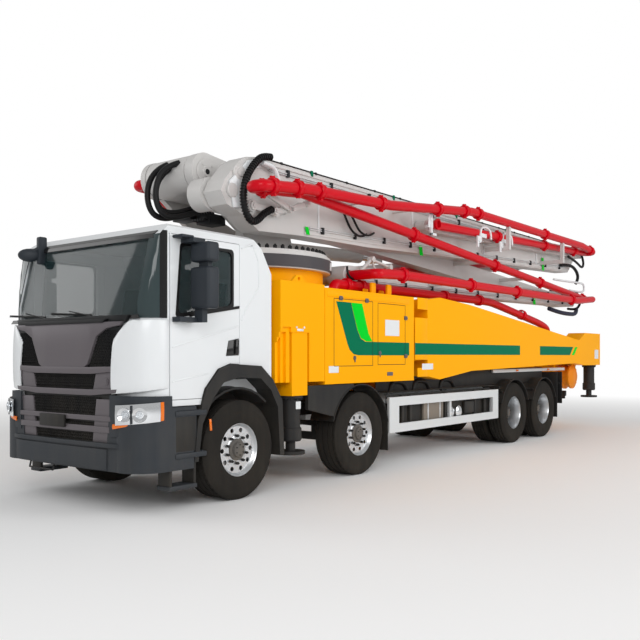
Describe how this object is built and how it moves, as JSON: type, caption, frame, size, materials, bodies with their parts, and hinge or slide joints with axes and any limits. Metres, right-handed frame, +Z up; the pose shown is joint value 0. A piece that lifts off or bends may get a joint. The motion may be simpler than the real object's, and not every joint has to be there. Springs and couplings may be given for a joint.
{
  "type": "truck-mounted concrete pump",
  "caption": "Concrete pump truck with a white cab, yellow stabiliser deck with swing-out legs, rear hopper and a folded multi-section placing boom carrying red delivery pipes.",
  "frame": {"origin": "on the ground under the middle of the vehicle's box", "axes": "+X forward, +Y to the vehicle's left, +Z up"},
  "size_m": [13.0598, 3.04, 4.0498],
  "materials": {
    "yellow_paint": "satin",
    "white_paint": "gloss",
    "light_grey_paint": "satin",
    "red_paint": "gloss",
    "dark_steel": "satin",
    "slate_plastic": "matt",
    "grey_plastic": "matt",
    "black_plastic": "matt",
    "bare_aluminium": "satin",
    "rim_silver": "satin",
    "chrome": "polished",
    "tyre": "matt",
    "glass": "clear"
  },
  "bodies": {
    "chassis": {"chassis_frame": "dark_steel", "axles": "dark_steel", "deck": "yellow_paint", "hopper": "yellow_paint", "deck_pipe": "red_paint", "mudguards": "black_plastic", "tanks_and_guards": "bare_aluminium", "cab_shell": "white_paint", "cab_glass": "glass", "cab_interior": "grey_plastic", "grille": "grey_plastic", "bumper": "slate_plastic"},
    "door_left": {"door_left": "white_paint", "mirror_left": "slate_plastic"},
    "door_right": {"door_right": "white_paint", "mirror_right": "slate_plastic"},
    "steer_1_left": {"knuckle_1_left": "dark_steel"},
    "steer_2_left": {"knuckle_2_left": "dark_steel"},
    "wheel_1_left": {"tyre_1_left": "tyre", "rim_1_left": "rim_silver"},
    "wheel_2_left": {"tyre_2_left": "tyre", "rim_2_left": "rim_silver"},
    "wheel_3_left": {"tyre_3_left": "tyre", "rim_3_left": "rim_silver"},
    "wheel_4_left": {"tyre_4_left": "tyre", "rim_4_left": "rim_silver"},
    "steer_1_right": {"knuckle_1_right": "dark_steel"},
    "steer_2_right": {"knuckle_2_right": "dark_steel"},
    "wheel_1_right": {"tyre_1_right": "tyre", "rim_1_right": "rim_silver"},
    "wheel_2_right": {"tyre_2_right": "tyre", "rim_2_right": "rim_silver"},
    "wheel_3_right": {"tyre_3_right": "tyre", "rim_3_right": "rim_silver"},
    "wheel_4_right": {"tyre_4_right": "tyre", "rim_4_right": "rim_silver"},
    "front_leg_left": {"front_leg_left": "yellow_paint"},
    "front_jack_left": {"front_jack_left": "dark_steel"},
    "rear_leg_left": {"rear_leg_left": "yellow_paint"},
    "rear_jack_left": {"rear_jack_left": "dark_steel"},
    "front_leg_right": {"front_leg_right": "yellow_paint"},
    "front_jack_right": {"front_jack_right": "dark_steel"},
    "rear_leg_right": {"rear_leg_right": "yellow_paint"},
    "rear_jack_right": {"rear_jack_right": "dark_steel"},
    "turret": {"turret": "light_grey_paint", "turret_pipe": "red_paint"},
    "lift_barrel": {"lift_barrel": "light_grey_paint"},
    "lift_rod": {"lift_rod": "chrome"},
    "boom_1": {"boom_1": "light_grey_paint", "pipe_1": "red_paint"},
    "boom_2": {"boom_2": "light_grey_paint", "pipe_2": "red_paint"},
    "boom_3": {"boom_3": "light_grey_paint", "pipe_3": "red_paint"},
    "boom_4": {"boom_4": "light_grey_paint", "pipe_4": "red_paint"},
    "boom_5": {"boom_5": "light_grey_paint", "pipe_5": "red_paint"},
    "boom_6": {"boom_6": "light_grey_paint", "pipe_6": "red_paint"}
  },
  "joints": [
    {"name": "door_left_hinge", "type": "hinge", "parent": "chassis", "child": "door_left", "pos_m": [6.104, 1.201, 1.95], "axis": [0, 0, -1], "range_deg": [0, 72]},
    {"name": "door_right_hinge", "type": "hinge", "parent": "chassis", "child": "door_right", "pos_m": [6.104, -1.201, 1.95], "axis": [0, 0, 1], "range_deg": [0, 72]},
    {"name": "steer_1_left", "type": "hinge", "parent": "chassis", "child": "steer_1_left", "pos_m": [5.13, 0.91, 0.54], "axis": [0, 0, 1], "range_deg": [-35, 35]},
    {"name": "steer_2_left", "type": "hinge", "parent": "chassis", "child": "steer_2_left", "pos_m": [2.85, 0.91, 0.54], "axis": [0, 0, 1], "range_deg": [-35, 35]},
    {"name": "wheel_1_left_spin", "type": "hinge", "parent": "steer_1_left", "child": "wheel_1_left", "pos_m": [5.13, 1, 0.54], "axis": [0, 1, 0], "continuous": true},
    {"name": "wheel_2_left_spin", "type": "hinge", "parent": "steer_2_left", "child": "wheel_2_left", "pos_m": [2.85, 1, 0.54], "axis": [0, 1, 0], "continuous": true},
    {"name": "wheel_3_left_spin", "type": "hinge", "parent": "chassis", "child": "wheel_3_left", "pos_m": [-2, 1, 0.54], "axis": [0, 1, 0], "continuous": true},
    {"name": "wheel_4_left_spin", "type": "hinge", "parent": "chassis", "child": "wheel_4_left", "pos_m": [-3.35, 1, 0.54], "axis": [0, 1, 0], "continuous": true},
    {"name": "steer_1_right", "type": "hinge", "parent": "chassis", "child": "steer_1_right", "pos_m": [5.13, -0.91, 0.54], "axis": [0, 0, 1], "range_deg": [-35, 35]},
    {"name": "steer_2_right", "type": "hinge", "parent": "chassis", "child": "steer_2_right", "pos_m": [2.85, -0.91, 0.54], "axis": [0, 0, 1], "range_deg": [-35, 35]},
    {"name": "wheel_1_right_spin", "type": "hinge", "parent": "steer_1_right", "child": "wheel_1_right", "pos_m": [5.13, -1, 0.54], "axis": [0, 1, 0], "continuous": true},
    {"name": "wheel_2_right_spin", "type": "hinge", "parent": "steer_2_right", "child": "wheel_2_right", "pos_m": [2.85, -1, 0.54], "axis": [0, 1, 0], "continuous": true},
    {"name": "wheel_3_right_spin", "type": "hinge", "parent": "chassis", "child": "wheel_3_right", "pos_m": [-2, -1, 0.54], "axis": [0, 1, 0], "continuous": true},
    {"name": "wheel_4_right_spin", "type": "hinge", "parent": "chassis", "child": "wheel_4_right", "pos_m": [-3.35, -1, 0.54], "axis": [0, 1, 0], "continuous": true},
    {"name": "front_leg_left_sweep", "type": "hinge", "parent": "chassis", "child": "front_leg_left", "pos_m": [7.73, -0.5, 1.8], "axis": [0, 0, -1], "range_deg": [0, 22]},
    {"name": "rear_leg_left_swing", "type": "hinge", "parent": "chassis", "child": "rear_leg_left", "pos_m": [1.37, 1.02, 1.8], "axis": [0, 0, -1], "range_deg": [0, 75]},
    {"name": "front_jack_left_slide", "type": "slide", "parent": "front_leg_left", "child": "front_jack_left", "axis": [0, 0, -1], "range_m": [0, 0.6]},
    {"name": "rear_jack_left_slide", "type": "slide", "parent": "rear_leg_left", "child": "rear_jack_left", "axis": [0, 0, -1], "range_m": [0, 0.8]},
    {"name": "front_leg_right_sweep", "type": "hinge", "parent": "chassis", "child": "front_leg_right", "pos_m": [7.73, 0.5, 1.8], "axis": [0, 0, 1], "range_deg": [0, 22]},
    {"name": "rear_leg_right_swing", "type": "hinge", "parent": "chassis", "child": "rear_leg_right", "pos_m": [1.37, -1.02, 1.8], "axis": [0, 0, 1], "range_deg": [0, 75]},
    {"name": "front_jack_right_slide", "type": "slide", "parent": "front_leg_right", "child": "front_jack_right", "axis": [0, 0, -1], "range_m": [0, 0.6]},
    {"name": "rear_jack_right_slide", "type": "slide", "parent": "rear_leg_right", "child": "rear_jack_right", "axis": [0, 0, -1], "range_m": [0, 0.8]},
    {"name": "turret_slew", "type": "hinge", "parent": "chassis", "child": "turret", "pos_m": [3.63, 0, 2.7], "axis": [0, 0, 1], "range_deg": [0, 180.1]},
    {"name": "boom_1_lift", "type": "hinge", "parent": "turret", "child": "boom_1", "pos_m": [4.61, 0, 3.815], "axis": [0, 1, 0], "range_deg": [0, 85]},
    {"name": "boom_2_fold", "type": "hinge", "parent": "boom_1", "child": "boom_2", "pos_m": [-5.47, 0, 3.7], "axis": [0, -1, 0], "range_deg": [0, 180.1]},
    {"name": "boom_3_fold", "type": "hinge", "parent": "boom_2", "child": "boom_3", "pos_m": [2.38, 0.5, 2.69], "axis": [0, 1, 0], "range_deg": [0, 180.1]},
    {"name": "boom_4_fold", "type": "hinge", "parent": "boom_3", "child": "boom_4", "pos_m": [-6.32, 0.5, 2.83], "axis": [0, -1, 0], "range_deg": [0, 180.1]},
    {"name": "boom_5_fold", "type": "hinge", "parent": "boom_4", "child": "boom_5", "pos_m": [4.73, 0.5, 3.5], "axis": [0, 1, 0], "range_deg": [0, 180.1]},
    {"name": "boom_6_fold", "type": "hinge", "parent": "boom_5", "child": "boom_6", "pos_m": [-6.32, 0.5, 3.88], "axis": [0, -1, 0], "range_deg": [0, 180.1]},
    {"name": "lift_barrel_pivot", "type": "hinge", "parent": "turret", "child": "lift_barrel", "pos_m": [3.23, -0.475, 3.12], "axis": [0, 1, 0], "range_deg": [0, 95.3]},
    {"name": "lift_rod_slide", "type": "slide", "parent": "lift_barrel", "child": "lift_rod", "axis": [-0.9992, 0, 0.0406], "range_m": [0, 1.56]}
  ],
  "couplings": [
    {"joint": "steer_1_right", "follows": "steer_1_left", "ratio": 1},
    {"joint": "steer_2_left", "follows": "steer_1_left", "ratio": 0.708},
    {"joint": "steer_2_right", "follows": "steer_1_left", "ratio": 0.708},
    {"joint": "turret_slew", "follows": "boom_1_lift", "ratio": 2.1176},
    {"joint": "boom_2_fold", "follows": "boom_1_lift", "ratio": 2.1176},
    {"joint": "boom_3_fold", "follows": "boom_1_lift", "ratio": 2.1176},
    {"joint": "boom_4_fold", "follows": "boom_1_lift", "ratio": 2.1176},
    {"joint": "boom_5_fold", "follows": "boom_1_lift", "ratio": 2.1176},
    {"joint": "boom_6_fold", "follows": "boom_1_lift", "ratio": 2.1176},
    {"joint": "lift_barrel_pivot", "follows": "boom_1_lift", "ratio": 1.12},
    {"joint": "lift_rod_slide", "follows": "boom_1_lift", "m_per_rad": 1.05}
  ]
}
